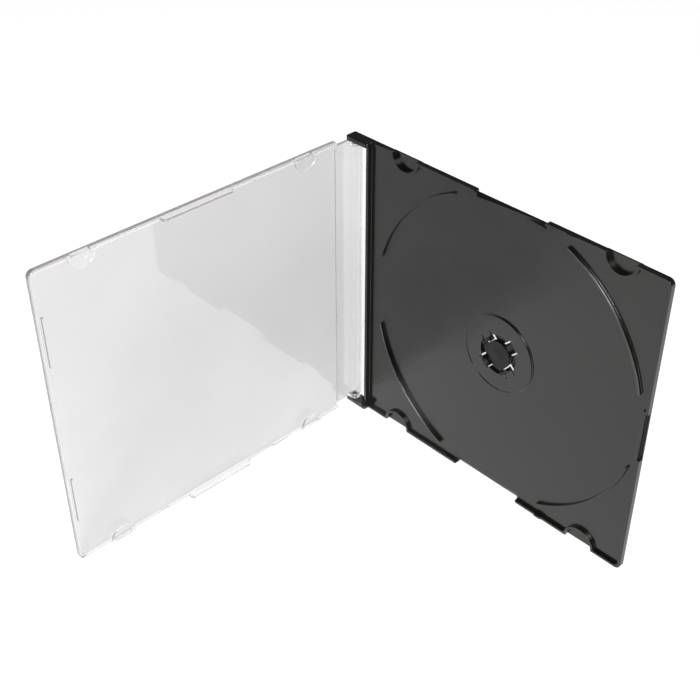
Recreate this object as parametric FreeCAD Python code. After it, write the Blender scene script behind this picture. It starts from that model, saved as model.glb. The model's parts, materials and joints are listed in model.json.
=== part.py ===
import FreeCAD, Part
import math
import os

# Slim case for one optical disc: a black tray and a clear lid, hinged along the spine.
# Lengths are millimetres. The closed case is drawn first, with u from the spine to the
# opening edge, v along the hinge from mid height, and w from the tray's back to the lid's front.

# The disc that everything is sized around
disc_diameter = 120.0
disc_thickness = 1.2
disc_hole_diameter = 15.0

# Stack from the tray's back to the lid's front
tray_floor = 1.2
bay_depth = 0.3
seat_height = 0.7
grip_height = 0.45
head_room = 0.75
lid_plate = 1.2

# Room around the disc
bay_clearance = 0.4
bay_slope = 1.2
edge_margin = 0.8
lid_wrap_gap = 0.3
lid_wrap_wall = 1.0
spine_margin = 6.4
opening_margin = 4.6

# Walls and the line where tray and lid meet
tray_wall = 1.1
lid_wall = 1.1
parting_gap = 0.2
corner_radius = 2.4
edge_bevel = 0.3

# Spine and hinge
spine_room = 2.723
spine_wall = 1.2
spine_wall_rise = 0.8
shoulder_room = 1.7
shoulder_gap = 0.7
arm_thickness = 1.8
arm_round = 1.0
hinge_gap = 0.3
cheek_thickness = 1.4
cheek_inset = 0.2
peg_radius = 1.25
peg_clearance = 0.05
peg_tip_gap = 0.2
lid_spine_wall = 1.2
lid_spine_foot = 0.9
lid_spine_round = 0.7
pip_radius = 0.8
pip_near = 19.0
pip_far = 50.0
lid_open_angle = 90.0

# Rib arcs round the disc bay
rib_gap = 0.3
rib_width = 0.9
rib_height = 1.2
rib_first_angle = 15.0
rib_last_angle = 66.0

# Hub that holds the disc by its hole: a seat with a bead, springy teeth and a round button
seat_radius = 16.0
seat_bead = 0.7
seat_bead_height = 0.25
hub_fit = 0.15
hub_lip = 0.15
lip_clearance = 0.1
hub_bevel = 0.3
hub_web = 0.4
slit_width = 0.5
claw_depth = 1.2
trough_reach = 0.7
tooth_count = 4
tooth_width = 4.4
tooth_thickness = 0.9
tooth_reach = 1.4
dome_radius = 3.4
dome_height = 0.25

# Middle stretch of the long edges, where the lid wraps outside the tray
wrap_half_length = 15.4
wrap_end_gap = 0.3
wrap_foot = 0.3
wrap_bevel = 1.0
wrap_round = 0.8
tray_lip = 0.4
tray_lip_slope = 1.7

# Half-moon tabs of the lid and the tray pockets that take them
tab_radius = 5.4
tab_thickness = 0.8
tab_clearance = 0.5
tab_from_spine = 17.6
tab_from_opening = 19.0
tab_window_half = 3.6
pocket_wall = 1.0
pocket_floor = 0.6

# Closing detents on the long walls
detent_offset = 26.6
detent_length = 4.0
detent_height = 0.45
detent_gap = 0.25
detent_slope = 0.6

# Opening edge: thumb notch in the tray, two lip ribs and a booklet stop in the lid
notch_half_length = 10.0
notch_depth = 1.0
notch_ledge = 0.8
lip_rib_gap = 1.0
lip_rib_width = 0.8
lip_rib_height = 0.8
lip_rib_near = 24.5
lip_rib_length = 20.0
stop_rib_width = 0.7
stop_rib_height = 0.4

# Sizes that follow from the ones above
full_turn = 360.0
bay_radius = disc_diameter / 2 + bay_clearance
bay_floor = tray_floor - bay_depth
seat_top = bay_floor + seat_height
platform_top = seat_top - seat_bead_height
hub_top = seat_top + disc_thickness + grip_height
lid_inside = hub_top + head_room
case_thickness = lid_inside + lid_plate
axis_u = case_thickness / 2
axis_w = case_thickness / 2
half_height = bay_radius + edge_margin + lid_wrap_gap + lid_wrap_wall
tray_wrap_edge = bay_radius + edge_margin
hinge_sweep = math.hypot(axis_u, axis_w)
spine_u = axis_u + hinge_sweep + spine_room
spine_inside = spine_u + spine_wall
hub_u = spine_inside + spine_margin + bay_radius
case_width = hub_u + bay_radius + opening_margin
shoulder_u = spine_inside + shoulder_room
arm_step_u = shoulder_u - shoulder_gap
tray_edge_w = axis_w - parting_gap / 2
lid_edge_w = axis_w + parting_gap / 2
lid_narrow_half = half_height - arm_thickness - hinge_gap
tab_centres = (spine_inside + tab_from_spine, case_width - tab_from_opening)
nub_u = hub_u + detent_offset
notch_centres = (hub_u - detent_offset, nub_u)
grip_radius = disc_hole_diameter / 2 - hub_fit
claw_inner = grip_radius - claw_depth
button_radius = claw_inner - slit_width
trough_radius = disc_hole_diameter / 2 + trough_reach
tooth_root = trough_radius + tooth_reach
sides = (-1, 1)

# How near an edge lies to a place for it to be picked there
pick_reach = edge_bevel / 15


def block(u_span, v_span, w_span):
    """Box between two values on each axis."""
    corner = FreeCAD.Vector(min(u_span), min(v_span), min(w_span))
    lengths = [max(span) - min(span) for span in (u_span, v_span, w_span)]
    return Part.makeBox(*lengths, corner)


def disc(radius, w_span, u, v):
    """Cylinder across the case, centred on a point of its plan."""
    return Part.makeCylinder(radius, w_span[1] - w_span[0], FreeCAD.Vector(u, v, w_span[0]))


def prism_along_u(points, u_span):
    """Prism along the long edges from an outline given as (v, w) points."""
    outline = Part.makePolygon([FreeCAD.Vector(u_span[0], v, w) for v, w in points + points[:1]])
    return Part.Face(outline).extrude(FreeCAD.Vector(u_span[1] - u_span[0], 0, 0))


def prism_along_v(points, v_span):
    """Prism along the hinge from an outline given as (u, w) points."""
    outline = Part.makePolygon([FreeCAD.Vector(u, v_span[0], w) for u, w in points + points[:1]])
    return Part.Face(outline).extrude(FreeCAD.Vector(0, v_span[1] - v_span[0], 0))


def turned(points):
    """Solid of revolution about the hub's axis from an outline given as (radius, w) points."""
    outline = Part.makePolygon([FreeCAD.Vector(hub_u + r, 0, w) for r, w in points + points[:1]])
    return Part.Face(outline).revolve(FreeCAD.Vector(hub_u, 0, 0), FreeCAD.Vector(0, 0, 1), full_turn)


def edges_of(solid, wanted):
    """Edges whose two ends both meet a condition."""
    return [edge for edge in solid.Edges if all(wanted(vertex.Point) for vertex in edge.Vertexes)]


def rounded_block(u_span, half, w_span, radius):
    """Box across the case with its two corners at the opening edge rounded."""
    solid = block(u_span, (-half, half), w_span)
    at_opening = edges_of(solid, lambda point: abs(point.x - u_span[1]) < pick_reach)
    upright = [edge for edge in at_opening if abs(edge.Vertexes[0].Y - edge.Vertexes[1].Y) < pick_reach]
    return solid.makeFillet(radius, upright)


def soften_rim(solid, spine_end, face_w):
    """Bevels the outer rim of one face, except along the spine."""
    def on_rim(point):
        return abs(point.z - face_w) < pick_reach
    rim = [edge for edge in edges_of(solid, on_rim) if edge.CenterOfMass.x > spine_end + pick_reach]
    return solid.makeChamfer(edge_bevel, rim)


def tray_shell():
    """Floor with the low wall round it, and the higher wall along the spine."""
    outer = rounded_block((spine_u, case_width), half_height, (0, tray_edge_w), corner_radius)
    outer = soften_rim(outer, spine_u, 0)
    inside = rounded_block((spine_inside, case_width - tray_wall), half_height - tray_wall,
                           (tray_floor, case_thickness), corner_radius - tray_wall / 2)
    spine_top = tray_edge_w + spine_wall_rise
    spine_half = half_height - arm_thickness / 2
    spine = block((spine_u, spine_inside), (-spine_half, spine_half), (0, spine_top))
    return outer.cut(inside).fuse(spine)


def hinge_arm(side):
    """Arm beyond the spine wall with the peg that the lid turns on."""
    arm_inside = half_height - arm_thickness
    arm = block((0, arm_step_u), (side * arm_inside, side * half_height), (0, case_thickness))
    across = [edge for edge in arm.Edges if abs(edge.Vertexes[0].Y - edge.Vertexes[1].Y) > pick_reach]
    tips = [edge for edge in across if edge.Vertexes[0].X < axis_u or edge.Vertexes[0].Z > axis_w]
    arm = arm.makeFillet(arm_round, tips)
    outline = edges_of(arm, lambda point: abs(point.y - side * half_height) < pick_reach)
    free = [edge for edge in outline if edge.CenterOfMass.x < arm_step_u - pick_reach]
    arm = arm.makeChamfer(edge_bevel, free)
    peg_length = hinge_gap + cheek_thickness - peg_tip_gap
    root = FreeCAD.Vector(axis_u, side * half_height, axis_w)
    peg = Part.makeCylinder(peg_radius, arm_thickness + peg_length, root, FreeCAD.Vector(0, -side, 0))
    return arm.fuse(peg)


def spine_pips():
    """Small half-round ribs on the outer face of the spine wall."""
    pips = []
    for side in sides:
        for distance in (pip_near, pip_far):
            pips.append(disc(pip_radius, (0, tray_edge_w), spine_u, side * distance))
    return pips


def bay_ribs():
    """Four arcs with round ends that stand just outside the disc."""
    inner = bay_radius + bay_slope + rib_gap
    outer = inner + rib_width
    top = tray_floor + rib_height
    points = [(inner, bay_floor), (outer, bay_floor), (outer, top), (inner, top)]
    outline = Part.makePolygon([FreeCAD.Vector(hub_u + r, 0, w) for r, w in points + points[:1]])
    centre = FreeCAD.Vector(hub_u, 0, 0)
    upright = FreeCAD.Vector(0, 0, 1)
    post = disc(rib_width / 2, (bay_floor, top), hub_u + (inner + outer) / 2, 0)
    ribs = []
    for turn in (0, full_turn / 2):
        for start, last in ((rib_first_angle, rib_last_angle), (-rib_last_angle, -rib_first_angle)):
            rib = Part.Face(outline).revolve(centre, upright, last - start)
            rib.rotate(centre, upright, turn + start)
            ribs.append(rib)
            for angle in (start, last):
                end = post.copy()
                end.rotate(centre, upright, turn + angle)
                ribs.append(end)
    return ribs


def hub_seat():
    """Round platform with a raised bead that the disc lies on."""
    return turned([
        (0, 0),
        (seat_radius, 0),
        (seat_radius, seat_top),
        (seat_radius - seat_bead, seat_top),
        (seat_radius - seat_bead, platform_top),
        (0, platform_top),
    ])


def spoke(index, reach, width, w_span):
    """Bar from the hub's axis outwards along one of the teeth."""
    bar = block((hub_u, hub_u + reach), (-width / 2, width / 2), w_span)
    turn = (index + 1 / 2) * full_turn / tooth_count
    bar.rotate(FreeCAD.Vector(hub_u, 0, 0), FreeCAD.Vector(0, 0, 1), turn)
    return bar


def hub_cuts():
    """Sunken ring round the button, and the slits that set the teeth free."""
    depth = (0, hub_top)
    button = disc(button_radius, depth, hub_u, 0)
    cuts = [disc(trough_radius, (hub_web, hub_top), hub_u, 0).cut(button)]
    for index in range(tooth_count):
        cuts.append(spoke(index, tooth_root, tooth_width + 2 * slit_width, depth).cut(button))
    return cuts


def hub_rosette():
    """Round button with a low dome, and springy teeth whose claws grip the disc's hole."""
    button = disc(button_radius, (0, seat_top), hub_u, 0)
    ball_radius = (dome_radius ** 2 + dome_height ** 2) / (2 * dome_height)
    ball = Part.makeSphere(ball_radius, FreeCAD.Vector(hub_u, 0, seat_top + dome_height - ball_radius))
    dome = ball.common(disc(dome_radius, (seat_top, seat_top + dome_height), hub_u, 0))
    foot = platform_top - tooth_thickness
    grip_w = seat_top + disc_thickness + lip_clearance
    claw_ring = turned([
        (claw_inner, foot),
        (grip_radius, foot),
        (grip_radius, grip_w),
        (grip_radius + hub_lip, grip_w + hub_lip),
        (grip_radius - hub_bevel, hub_top),
        (claw_inner + hub_bevel, hub_top),
        (claw_inner, hub_top - hub_bevel),
    ])
    pieces = [button, dome]
    gap = disc(claw_inner, (0, hub_top), hub_u, 0)
    for index in range(tooth_count):
        pieces.append(spoke(index, tooth_root + slit_width, tooth_width, (foot, platform_top)).cut(gap))
        pieces.append(claw_ring.common(spoke(index, tooth_root, tooth_width, (0, hub_top))))
    return pieces


def pocket_ring(centre_u, side):
    """Half-moon wall that carries the tray's edge round a tab of the lid."""
    inner = tab_radius + tab_clearance
    ring = disc(inner + pocket_wall, (0, tray_edge_w), centre_u, side * half_height)
    reach = inner + pocket_wall
    keep = block((centre_u - reach, centre_u + reach), (side * (half_height - reach), side * half_height),
                 (0, tray_edge_w))
    return ring.common(keep)


def detent(centre_u, side, wall, length, height, foot_w):
    """Low nub with sloped ends on the edge of a long wall."""
    near = half_height - wall
    half = length / 2
    points = [(centre_u - half, foot_w - parting_gap), (centre_u + half, foot_w - parting_gap),
              (centre_u + half, foot_w), (centre_u + half - detent_slope, foot_w + height),
              (centre_u - half + detent_slope, foot_w + height), (centre_u - half, foot_w)]
    return prism_along_v(points, (side * near, side * half_height))


def wrap_cut(side):
    """Cut that sets the tray's edge back where the lid wraps it, with a sloped lip."""
    span = (hub_u - wrap_half_length, hub_u + wrap_half_length)
    beyond = half_height + lid_wrap_wall
    above = case_thickness
    points = [(tray_wrap_edge, 0), (beyond, 0), (beyond, above), (tray_wrap_edge - tray_lip_slope, above),
              (tray_wrap_edge - tray_lip_slope, tray_floor), (tray_wrap_edge, tray_lip)]
    return prism_along_u([(side * v, w) for v, w in points], span)


def at_wrap_end(point):
    """Tells whether a point lies on an outer corner where the tray's long wall stops."""
    off_centre = abs(point.x - hub_u) - wrap_half_length
    return abs(off_centre) < pick_reach and abs(abs(point.y) - half_height) < pick_reach


def make_tray():
    """Black tray with its hub, hinge arms and pockets, moulded in one piece."""
    tray = tray_shell()
    tray = tray.fuse(spine_pips())
    tray = tray.fuse([hinge_arm(side) for side in sides])
    bay_centre = FreeCAD.Vector(hub_u, 0, bay_floor)
    tray = tray.cut(Part.makeCone(bay_radius, bay_radius + bay_slope, bay_depth, bay_centre))
    tray = tray.fuse(bay_ribs())
    for side in sides:
        for centre_u in tab_centres:
            tray = tray.fuse(pocket_ring(centre_u, side))
            inner = tab_radius + tab_clearance
            tray = tray.cut(disc(inner, (pocket_floor, case_thickness), centre_u, side * half_height))
        tray = tray.fuse(detent(nub_u, side, tray_wall, detent_length, detent_height, tray_edge_w))
        tray = tray.cut(wrap_cut(side))
    tray = tray.makeFillet(wrap_round, edges_of(tray, at_wrap_end))
    set_back = case_width - notch_depth
    backing = block((set_back - tray_wall, set_back),
                    (-notch_half_length - tray_wall, notch_half_length + tray_wall), (0, tray_edge_w))
    notch = block((set_back, case_width), (-notch_half_length, notch_half_length), (notch_ledge, tray_edge_w))
    tray = tray.fuse(backing).cut(notch)
    tray = tray.fuse(hub_seat()).cut(hub_cuts()).fuse(hub_rosette())
    return tray.removeSplitter()


def lid_cheek(side):
    """End wall of the lid's narrow part, with the eye that the tray's peg turns in."""
    outside = side * lid_narrow_half
    eye_radius = axis_w - cheek_inset
    inward = FreeCAD.Vector(0, -side, 0)
    centre = FreeCAD.Vector(axis_u, outside, axis_w)
    eye = Part.makeCylinder(eye_radius, cheek_thickness, centre, inward)
    v_span = (outside, outside - side * cheek_thickness)
    root = block((lid_spine_wall, axis_u + eye_radius), v_span, (axis_w, lid_inside))
    back = block((0, axis_u), v_span, (lid_spine_foot, lid_inside))
    return eye.fuse([root, back])


def lid_tab(centre_u, side):
    """Half-moon tab that keeps a booklet against the lid."""
    low = lid_edge_w - tab_thickness
    tab = disc(tab_radius, (low, lid_edge_w), centre_u, side * half_height)
    keep = block((centre_u - tab_radius, centre_u + tab_radius),
                 (side * (half_height - tab_radius), side * half_height), (low, lid_edge_w))
    return tab.common(keep)


def lid_wrap(side):
    """Deep stretch of the lid's long wall that comes down outside the tray."""
    near = hub_u - wrap_half_length + wrap_end_gap
    far = hub_u + wrap_half_length - wrap_end_gap
    shoulder = wrap_foot + wrap_bevel
    points = [(near, lid_inside), (far, lid_inside), (far, shoulder), (far - wrap_bevel, wrap_foot),
              (near + wrap_bevel, wrap_foot), (near, shoulder)]
    return prism_along_v(points, (side * (half_height - lid_wrap_wall), side * half_height))


def make_lid():
    """Clear lid in the closed pose, moulded in one piece."""
    outer = rounded_block((shoulder_u, case_width), half_height, (lid_edge_w, case_thickness),
                          corner_radius)
    outer = soften_rim(outer, shoulder_u, case_thickness)
    inside = rounded_block((0, case_width - lid_wall), half_height - lid_wall, (0, lid_inside),
                           corner_radius - lid_wall / 2)
    lid = outer.cut(inside)
    narrow = block((0, shoulder_u), (-lid_narrow_half, lid_narrow_half), (lid_inside, case_thickness))
    front_corner = edges_of(narrow, lambda point: point.x < pick_reach and point.z > lid_inside + pick_reach)
    narrow = narrow.makeFillet(lid_spine_round, front_corner)
    spine = block((0, lid_spine_wall), (-lid_narrow_half, lid_narrow_half), (lid_spine_foot, lid_inside))
    lid = lid.fuse([narrow, spine] + [lid_cheek(side) for side in sides])
    lip_outer = case_width - lid_wall - lip_rib_gap
    for side in sides:
        lid = lid.fuse([lid_tab(centre_u, side) for centre_u in tab_centres])
        lid = lid.fuse(lid_wrap(side))
        for centre_u in tab_centres:
            window = block((centre_u - tab_window_half, centre_u + tab_window_half),
                           (side * (half_height - lid_wall), side * half_height), (lid_edge_w, lid_inside))
            lid = lid.cut(window)
        for centre_u in notch_centres:
            length = detent_length + 2 * detent_gap
            lid = lid.cut(detent(centre_u, side, lid_wall, length, detent_height, lid_edge_w))
        lip_rib = block((lip_outer - lip_rib_width, lip_outer),
                        (side * lip_rib_near, side * (lip_rib_near + lip_rib_length)),
                        (lid_inside - lip_rib_height, lid_inside))
        lid = lid.fuse(lip_rib)
    stop_half = lid_narrow_half - cheek_thickness
    stop_rib = block((shoulder_u - stop_rib_width, shoulder_u), (-stop_half, stop_half),
                     (lid_inside - stop_rib_height, lid_inside))
    lid = lid.fuse(stop_rib)
    eye = Part.makeCylinder(peg_radius + peg_clearance, 2 * half_height,
                            FreeCAD.Vector(axis_u, -half_height, axis_w), FreeCAD.Vector(0, 1, 0))
    return lid.cut(eye).removeSplitter()


def stand_up(shape):
    """Stands the closed drawing on its lower long edge, centred over the open case."""
    shape = shape.copy()
    shape.rotate(FreeCAD.Vector(0, 0, 0), FreeCAD.Vector(1, 0, 0), full_turn / 4)
    shape.translate(FreeCAD.Vector(-case_width / 2, case_width / 2, half_height))
    return shape


def main():
    """Builds both mouldings, opens the lid and writes one file for each."""
    os.makedirs("parts", exist_ok=True)
    tray = make_tray()
    lid = make_lid()
    lid.rotate(FreeCAD.Vector(axis_u, 0, axis_w), FreeCAD.Vector(0, 1, 0), -lid_open_angle)
    for name, shape in (("tray", tray), ("lid", lid)):
        placed = stand_up(shape)
        solids = placed.Solids
        placed = solids[0] if len(solids) == 1 else placed
        placed.exportStep(f"parts/{name}.step")
        box = placed.BoundBox
        print(name, len(solids), placed.isValid(), round(placed.Volume, 1), [round(value, 2) for value in (
            box.XMin, box.XMax, box.YMin, box.YMax, box.ZMin, box.ZMax)])


main()
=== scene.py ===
import itertools
import json
import math

import bpy
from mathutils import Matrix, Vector


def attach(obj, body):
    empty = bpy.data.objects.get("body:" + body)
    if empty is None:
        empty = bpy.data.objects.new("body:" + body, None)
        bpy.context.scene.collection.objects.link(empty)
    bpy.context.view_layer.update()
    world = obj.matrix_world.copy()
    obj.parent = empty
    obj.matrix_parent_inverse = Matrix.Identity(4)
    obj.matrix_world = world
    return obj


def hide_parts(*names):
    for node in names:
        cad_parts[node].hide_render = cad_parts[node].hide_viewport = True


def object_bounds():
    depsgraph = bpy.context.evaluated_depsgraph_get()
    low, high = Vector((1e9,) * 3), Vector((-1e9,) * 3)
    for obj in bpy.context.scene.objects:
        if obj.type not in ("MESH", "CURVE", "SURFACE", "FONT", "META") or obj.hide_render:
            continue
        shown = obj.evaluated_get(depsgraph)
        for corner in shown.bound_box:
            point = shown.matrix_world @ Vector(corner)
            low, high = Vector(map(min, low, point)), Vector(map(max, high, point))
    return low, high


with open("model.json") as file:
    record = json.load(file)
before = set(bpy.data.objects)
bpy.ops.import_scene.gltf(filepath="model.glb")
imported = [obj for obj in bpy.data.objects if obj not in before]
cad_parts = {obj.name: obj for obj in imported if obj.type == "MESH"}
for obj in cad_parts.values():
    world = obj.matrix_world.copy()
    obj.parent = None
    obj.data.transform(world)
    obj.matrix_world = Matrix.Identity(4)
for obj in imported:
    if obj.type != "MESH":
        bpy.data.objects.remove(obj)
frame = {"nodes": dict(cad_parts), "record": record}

mm = 0.001                      # the frame is in metres
white = (1.0, 1.0, 1.0, 1.0)
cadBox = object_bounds()
caseLow, caseHigh = (Vector(corner) for corner in cadBox)
print("frame loaded:", sorted(frame["nodes"]))


def selectOnly(obj):
    bpy.ops.object.select_all(action="DESELECT")
    obj.select_set(True)
    bpy.context.view_layer.objects.active = obj


class Wire:
    # one shader socket, so that maths on it reads as a plain sum
    mixSockets = {"factor": 0, "first": 6, "second": 7, "result": 2}    # colour sockets of a Mix node

    def __init__(self, tree, socket=None):
        self.tree = tree
        self.socket = socket

    def node(self, kind, settings=None, inputs=None, out=0):
        made = self.tree.nodes.new(kind)
        for name, value in (settings or {}).items():
            setattr(made, name, value)
        for name, value in (inputs or {}).items():
            if isinstance(value, Wire):
                self.tree.links.new(value.socket, made.inputs[name])
            else:
                made.inputs[name].default_value = value
        return Wire(self.tree, made.outputs[out]) if made.outputs else made

    def maths(self, operation, first, second):
        return self.node("ShaderNodeMath", {"operation": operation}, {0: first, 1: second})

    def __add__(self, other):
        return self.maths("ADD", self, other)

    def __radd__(self, other):
        return self.maths("ADD", other, self)

    def __sub__(self, other):
        return self.maths("SUBTRACT", self, other)

    def __rsub__(self, other):
        return self.maths("SUBTRACT", other, self)

    def __mul__(self, other):
        return self.maths("MULTIPLY", self, other)

    def __rmul__(self, other):
        return self.maths("MULTIPLY", other, self)

    def between(self, low, high):
        # 0 at low, 1 at high, with a smooth step from one to the other
        return self.node("ShaderNodeMapRange", {"clamp": True, "interpolation_type": "SMOOTHSTEP"},
                         {"Value": self, "From Min": low, "From Max": high, "To Min": 0.0, "To Max": 1.0})

    def colours(self, first, second):
        m = self.mixSockets
        inputs = {m["factor"]: self, m["first"]: first, m["second"]: second}
        return self.node("ShaderNodeMix", {"data_type": "RGBA"}, inputs, out=m["result"])

    def noise(self, size, detail):
        return self.node("ShaderNodeTexNoise", None, {"Vector": self, "Scale": 1 / size, "Detail": detail})

    def bump(self, depth, strength):
        return self.node("ShaderNodeBump", None, {"Strength": strength, "Distance": depth, "Height": self})


def newMaterial(name):
    material = bpy.data.materials.new(name)
    material.use_nodes = True
    material.node_tree.nodes.clear()
    return material, Wire(material.node_tree)


# Black moulded styrene of the tray
blackStyrene = {
    "deep": (0.0050, 0.0050, 0.0042, 1.0),
    "worn": (0.0074, 0.0074, 0.0058, 1.0),
    "ior": 1.56,
    "specular": 0.5,
    "gloss": 0.17,              # roughness of the smoothest places
    "satin": 0.25,              # roughness of the dullest places
    "coat": 0.0,
    "coatRoughness": 0.1,
    "coatIor": 1.5,
    "cloudSize": 26 * mm,       # blotches in the sheen
    "cloudDetail": 4.0,
    "cloudRange": (0.3, 0.7),
    "grainSize": 0.30 * mm,     # fine mould texture
    "grainDetail": 2.0,
    "grainDepth": 0.002 * mm,
    "grainStrength": 0.35,
}
ribPolish = {                   # shinier roundings, fitted to the glints in the photograph
    "gloss": 0.08,
    "satin": 0.14,
    "coat": 1.0,
    "coatRoughness": 0.10,
    "coatIor": 1.6,
}
buttonPaintedShade = {                  # hub's button and teeth made darker and duller: painted shade of the sunken hub
    "reach": 8.6 * mm,
    "deep": (0.0058, 0.0046, 0.0056, 1.0),
    "worn": (0.0074, 0.0060, 0.0070, 1.0),
    "specular": 0.2,
}


def makeBlackStyrene(name, changes):
    b = {**blackStyrene, **changes}
    material, w = newMaterial(name)
    place = w.node("ShaderNodeTexCoord", out="Object")
    sheen = place.noise(b["cloudSize"], b["cloudDetail"]).between(*b["cloudRange"])
    grain = place.noise(b["grainSize"], b["grainDetail"]).bump(b["grainDepth"], b["grainStrength"])
    shader = w.node("ShaderNodeBsdfPrincipled", None, {
        "Base Color": sheen.colours(b["deep"], b["worn"]),
        "Roughness": sheen * (b["satin"] - b["gloss"]) + b["gloss"],
        "IOR": b["ior"],
        "Specular IOR Level": b["specular"],
        "Coat Weight": b["coat"],
        "Coat Roughness": b["coatRoughness"],
        "Coat IOR": b["coatIor"],
        "Normal": grain,
    })
    w.node("ShaderNodeOutputMaterial", None, {"Surface": shader})
    return material


# Clear polished styrene of the lid
clearStyrene = {
    "clean": (0.94, 0.935, 0.936, 1.0),
    "hazy": (0.915, 0.91, 0.911, 1.0),
    "ior": 1.5,
    "clear": 0.94,              # share of the light that goes straight through
    "glow": (0.97, 0.93, 0.98, 1.0),
    "glowStrength": 0.045,      # stands in for light that the thick edges gather
    "polish": 0.015,            # roughness of the clean places
    "rubbed": 0.06,             # roughness of the hazy places
    "cloudSize": 30 * mm,
    "cloudDetail": 3.0,
    "cloudRange": (0.35, 0.7),
    "waveSize": 55 * mm,        # slow waves left by moulding
    "waveDetail": 0.0,
    "waveDepth": 0.10 * mm,
    "waveStrength": 1.0,
}
brightRim = {"glowStrength": 0.08}      # painted light: a stronger glow on the walls, where the light comes out
darkLine = {                    # painted shade: darker colour and no glow on the roundings of those walls, which bend the light away
    "clean": (0.80, 0.79, 0.81, 1.0),
    "hazy": (0.78, 0.77, 0.79, 1.0),
    "glowStrength": 0.0,
}
clearPlate = {"glowStrength": 0.038, "clear": 0.96}     # painted light: a weaker glow on the broad faces, which gather less light


def makeClearStyrene(name, changes):
    c = {**clearStyrene, **changes}
    material, w = newMaterial(name)
    place = w.node("ShaderNodeTexCoord", out="Object")
    haze = place.noise(c["cloudSize"], c["cloudDetail"]).between(*c["cloudRange"])
    waves = place.noise(c["waveSize"], c["waveDetail"]).bump(c["waveDepth"], c["waveStrength"])
    shader = w.node("ShaderNodeBsdfPrincipled", None, {
        "Base Color": haze.colours(c["clean"], c["hazy"]),
        "Roughness": haze * (c["rubbed"] - c["polish"]) + c["polish"],
        "IOR": c["ior"],
        "Transmission Weight": c["clear"],
        "Emission Color": c["glow"],
        "Emission Strength": c["glowStrength"],
        "Normal": waves,
    })
    w.node("ShaderNodeOutputMaterial", None, {"Surface": shader})
    return material


# Both mouldings keep their shape and get soft edges
softEdges = {
    "merge": 0.001 * mm,
    "flat": math.radians(0.5),          # faces this near to one plane become one
    "sharp": math.radians(28),          # edges that turn more than this are rounded
    "smooth": math.radians(34),
    "straight": math.radians(40),       # edges that bend less than this at a corner are one line
    "width": 0.18 * mm,                 # rounding where there is room for it
    "ribWidth": 0.30 * mm,              # rounding of the ribs round the bay
    "ribRing": (61.75 * mm, 62.95 * mm),
    "hubWidth": 0.15 * mm,              # rounding at the hub
    "hubReach": 17 * mm,
    "thin": 0.03 * mm,                  # a rounding below this is left out
    "share": 0.3,                       # part of a face that one rounding may take
    "ribShare": 0.45,
    "looks": (0.06, 0.5, 0.94),         # places along an edge where the room beside it is measured
    "plainCorners": 4,                  # faces with more corners also keep to their mean width
    "segments": 3,
}
hubMount = next(mount for mount in frame["record"]["mounts"] if mount["name"] == "disc_hub")
hubPlace = Vector(hubMount["pos_m"])
hubAxis = Vector(hubMount["axis"])


def hubReach(place):
    # distance from the hub's axis
    offset = place - hubPlace
    return (offset - hubAxis * offset.dot(hubAxis)).length


def widthAt(place, room):
    e = softEdges
    reach = hubReach(place)
    if e["ribRing"][0] < reach < e["ribRing"][1]:
        return min(e["ribWidth"], room * e["ribShare"])
    return min(e["hubWidth"] if reach < e["hubReach"] else e["width"], room * e["share"])


def roomBeside(mesh, face, edge):
    # how far a face reaches inwards from one of its edges
    e = softEdges
    start, end = (mesh.vertices[index].co for index in edge.vertices)
    along = (end - start).normalized()
    ring = list(face.vertices)
    follower = ring[(ring.index(edge.vertices[0]) + 1) % len(ring)]
    inward = face.normal.cross(along if follower == edge.vertices[1] else -along)
    offsets = [mesh.vertices[index].co - start for index in ring]
    flat = [(offset.dot(along), offset.dot(inward)) for offset in offsets]
    room = max(y for x, y in flat)
    for look in e["looks"]:
        place = look * (end - start).length
        for (ax, ay), (bx, by) in zip(flat, flat[1:] + flat[:1]):
            if (ax - place) * (bx - place) < 0:
                across = ay + (by - ay) * (place - ax) / (bx - ax)
                if across > e["merge"]:
                    room = min(room, across)
    if len(ring) > e["plainCorners"]:
        rim = sum((mesh.vertices[a].co - mesh.vertices[b].co).length for a, b in face.edge_keys)
        room = min(room, 2 * face.area / rim)
    return room


def weighEdges(mesh):
    # edges in one line get one rounding, as wide as its tightest place allows
    e = softEdges
    beside = {}
    for face in mesh.polygons:
        for key in face.edge_keys:
            beside.setdefault(key, []).append(face)
    widths = {}
    meeting = {}
    for edge in mesh.edges:
        faces = beside.get(edge.key, [])
        if len(faces) != 2 or faces[0].normal.angle(faces[1].normal, 0.0) < e["sharp"]:
            continue
        room = min(roomBeside(mesh, face, edge) for face in faces)
        middle = (mesh.vertices[edge.vertices[0]].co + mesh.vertices[edge.vertices[1]].co) / 2
        widths[edge.index] = widthAt(middle, room)
        for corner in edge.vertices:
            meeting.setdefault(corner, []).append(edge)
    line = {index: index for index in widths}

    def head(index):
        while line[index] != index:
            index = line[index]
        return index

    for corner, edges in meeting.items():
        ways = []
        for edge in edges:
            far = edge.vertices[0] if edge.vertices[1] == corner else edge.vertices[1]
            ways.append((edge.index, mesh.vertices[far].co - mesh.vertices[corner].co))
        for (first, firstWay), (second, secondWay) in itertools.combinations(ways, 2):
            if firstWay.angle(-secondWay, 0.0) < e["straight"]:
                line[head(first)] = head(second)
    least = {}
    for index, width in widths.items():
        least[head(index)] = min(width, least.get(head(index), width))
    weights = mesh.attributes.new("bevel_weight_edge", "FLOAT", "EDGE")
    for index in widths:
        width = least[head(index)]
        if width > e["thin"]:
            weights.data[index].value = width / e["ribWidth"]


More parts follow.
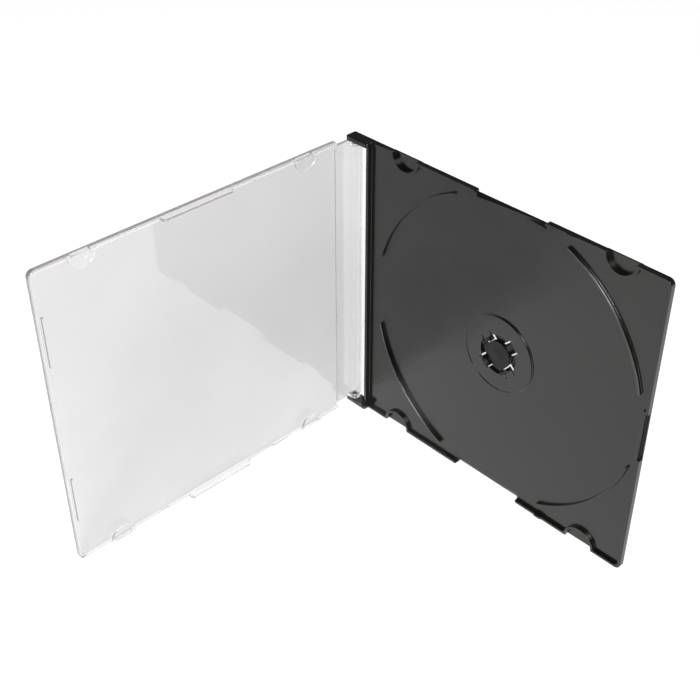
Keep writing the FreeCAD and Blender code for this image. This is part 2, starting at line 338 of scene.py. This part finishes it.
def softCopy(nodeName, pieceName, finishes, rounding):
    # a copy of a CAD node with soft edges, which take the finish named by rounding
    e = softEdges
    selectOnly(frame["nodes"][nodeName])
    bpy.ops.object.duplicate()
    piece = bpy.context.active_object
    piece.name = pieceName
    for key in list(piece.keys()):
        del piece[key]
    piece.data.materials.clear()
    for material in finishes.values():
        piece.data.materials.append(material)
    bpy.ops.object.mode_set(mode="EDIT")
    bpy.ops.mesh.select_all(action="SELECT")
    bpy.ops.mesh.remove_doubles(threshold=e["merge"])
    bpy.ops.mesh.dissolve_limited(angle_limit=e["flat"])
    bpy.ops.object.mode_set(mode="OBJECT")
    weighEdges(piece.data)
    bevel = piece.modifiers.new("softEdges", "BEVEL")
    bevel.limit_method = "WEIGHT"
    bevel.width = e["ribWidth"]
    bevel.segments = e["segments"]
    bevel.use_clamp_overlap = False
    bevel.material = list(finishes).index(rounding)
    bpy.ops.object.modifier_apply(modifier=bevel.name)
    bpy.ops.object.shade_smooth_by_angle(angle=e["smooth"])
    level = piece.modifiers.new("flatFaces", "WEIGHTED_NORMAL")     # wide faces stay flat in the light
    level.keep_sharp = True
    bpy.ops.object.modifier_apply(modifier=level.name)
    print(pieceName, "has", len(piece.data.polygons), "faces")
    return piece


def dress(piece, finishes, choose):
    # each face takes the finish chosen for it, or keeps its own
    for face in piece.data.polygons:
        name = choose(piece.data, face)
        if name:
            face.material_index = list(finishes).index(name)


trayLooks = {"blackStyrene": {}, "ribPolish": ribPolish, "buttonPaintedShade": buttonPaintedShade}


def trayFinishAndShade(mesh, face):
    # the hub and two of the ribs are polished, as only these glint in the photograph
    reach = hubReach(face.center)
    span = max(hubReach(mesh.vertices[index].co) for index in face.vertices)
    offset = face.center - hubPlace
    polished = reach < softEdges["hubReach"] or offset.x * offset.z > 0
    # the button and teeth take the darker copy of the black, which is painted shade
    if span < buttonPaintedShade["reach"] and face.normal.dot(hubAxis) > 0:
        return "buttonPaintedShade"
    if reach > softEdges["ribRing"][1] or not polished:
        return "blackStyrene"
    return None


trayFinishes = {name: makeBlackStyrene(name, changes) for name, changes in trayLooks.items()}
trayPiece = softCopy("tray", "trayMoulding", trayFinishes, "ribPolish")
dress(trayPiece, trayFinishes, trayFinishAndShade)
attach(trayPiece, "tray_body")
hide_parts("tray")

lidLooks = {"clearStyrene": {}, "brightRim": brightRim, "darkLine": darkLine, "clearPlate": clearPlate}
lidRim = {
    "broad": 1000 * mm ** 2,    # area from which a face is one of the plate's own
    "deep": 2.6 * mm,           # height of the long walls' band
    "plate": 1.3 * mm,          # faces nearer the front than this are the plate's
    "fillet": 1.1 * mm,         # between this and the next the wall leaves the plate
    "junction": 1.6 * mm,
    "outline": 0.3 * mm,        # faces this near to an edge are on the outside
    "flat": 0.999,              # part of a normal that lies along one axis
}


# places the lid's painted light and shade: glowing walls and plate, darker roundings
def lidGlowAndShade(mesh, face):
    r = lidRim
    toLongEdge = min(face.center.z - caseLow.z, caseHigh.z - face.center.z)
    toOpening = face.center.y - caseLow.y
    toFront = face.center.x - caseLow.x
    flat = max(abs(part) for part in face.normal) > r["flat"]
    outside = toLongEdge < r["outline"]
    if face.area > r["broad"]:
        return "clearPlate"
    if flat and toOpening < r["outline"]:
        return "brightRim"
    if toLongEdge < r["deep"] and flat and (outside or toFront > r["plate"]):
        return "brightRim"
    if toLongEdge < r["deep"] and not flat and (outside or r["fillet"] < toFront < r["junction"]):
        return "darkLine"
    return None


lidFinishes = {name: makeClearStyrene(name, changes) for name, changes in lidLooks.items()}
lidPiece = softCopy("lid", "lidMoulding", lidFinishes, "clearStyrene")
dress(lidPiece, lidFinishes, lidGlowAndShade)
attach(lidPiece, "lid_body")
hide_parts("lid")
print("mouldings dressed")


def seenRays(w, *names):
    # 1 for the kinds of ray named, 0 for all others
    path = w.node("ShaderNodeLightPath").socket.node
    seen = Wire(w.tree, path.outputs[names[0]])
    for name in names[1:]:
        seen = seen.maths("MAXIMUM", seen, Wire(w.tree, path.outputs[name]))
    return seen


# Floor that is white to the eye and in the gloss, and a little greyer through the clear lid
floorLook = {
    "size": 8.0,
    "colour": (0.40, 0.40, 0.40, 1.0),
    "lift": 0.86,               # light added so that the floor is seen as white
    "veil": 0.29,               # painted shade: part of the lift taken away for rays through the clear lid, so the floor reads greyer there
    "below": 0.02 * mm,
}


def makeFloor():
    f = floorLook
    material, w = newMaterial("paleFloor")
    seen = seenRays(w, "Is Camera Ray", "Is Glossy Ray", "Is Transmission Ray")
    level = seen * f["lift"] - seenRays(w, "Is Transmission Ray") * f["veil"]
    paint = w.node("ShaderNodeBsdfDiffuse", None, {"Color": f["colour"]})
    glow = w.node("ShaderNodeEmission", None, {"Color": white, "Strength": level})
    both = w.node("ShaderNodeAddShader", None, {0: paint, 1: glow})
    w.node("ShaderNodeOutputMaterial", None, {"Surface": both})
    bpy.ops.object.select_all(action="DESELECT")
    bpy.ops.mesh.primitive_plane_add(size=f["size"], location=(0, 0, caseLow.z - f["below"]))
    floor = bpy.context.active_object
    floor.name = "studioFloor"
    floor.data.materials.append(material)


def addToScene(name, data, place, aim):
    # a lamp or camera at place, turned to aim
    obj = bpy.data.objects.new(name, data)
    bpy.context.scene.collection.objects.link(obj)
    obj.location = place
    obj.rotation_euler = (Vector(aim) - obj.location).to_track_quat("-Z", "Y").to_euler()
    return obj


# One soft lamp: width in metres, power in watts
lampLook = {"size": 0.6, "place": (0.74, -0.70, 0.86), "power": 17.0}


def makeLamp():
    data = bpy.data.lights.new("keyLamp", "AREA")
    data.size = lampLook["size"]
    data.energy = lampLook["power"]
    addToScene("keyLamp", data, lampLook["place"], (0, 0, caseHigh.z / 2))


# Dim room that the gloss mirrors, pale to the eye and through the clear lid
roomLook = {"dim": 0.10, "pale": 0.9}


def makeRoom():
    world = bpy.data.worlds.new("studioRoom")
    world.use_nodes = True
    world.node_tree.nodes.clear()
    w = Wire(world.node_tree)
    seen = seenRays(w, "Is Camera Ray", "Is Transmission Ray")
    level = seen * (roomLook["pale"] - roomLook["dim"]) + roomLook["dim"]
    back = w.node("ShaderNodeBackground", None, {"Color": white, "Strength": level})
    w.node("ShaderNodeOutputWorld", None, {"Surface": back})
    bpy.context.scene.world = world


makeFloor()
makeLamp()
makeRoom()
bpy.context.scene.view_settings.view_transform = "Standard"
print("studio set")


# Camera worked out from the case's own corners in the photograph
cameraLook = {
    "place": (226.74 * mm, -215.45 * mm, 324.53 * mm),
    "aim": (-33.51 * mm, 32.44 * mm, 62.5 * mm),
    "lens": 62.03,
    "sensor": 36.0,
    "nearest": 0.01,
}


def makeCamera():
    c = cameraLook
    data = bpy.data.cameras.new("photoCamera")
    data.lens = c["lens"]
    data.sensor_fit = "HORIZONTAL"
    data.sensor_width = c["sensor"]
    data.clip_start = c["nearest"]
    bpy.context.scene.camera = addToScene("photoCamera", data, c["place"], c["aim"])


makeCamera()
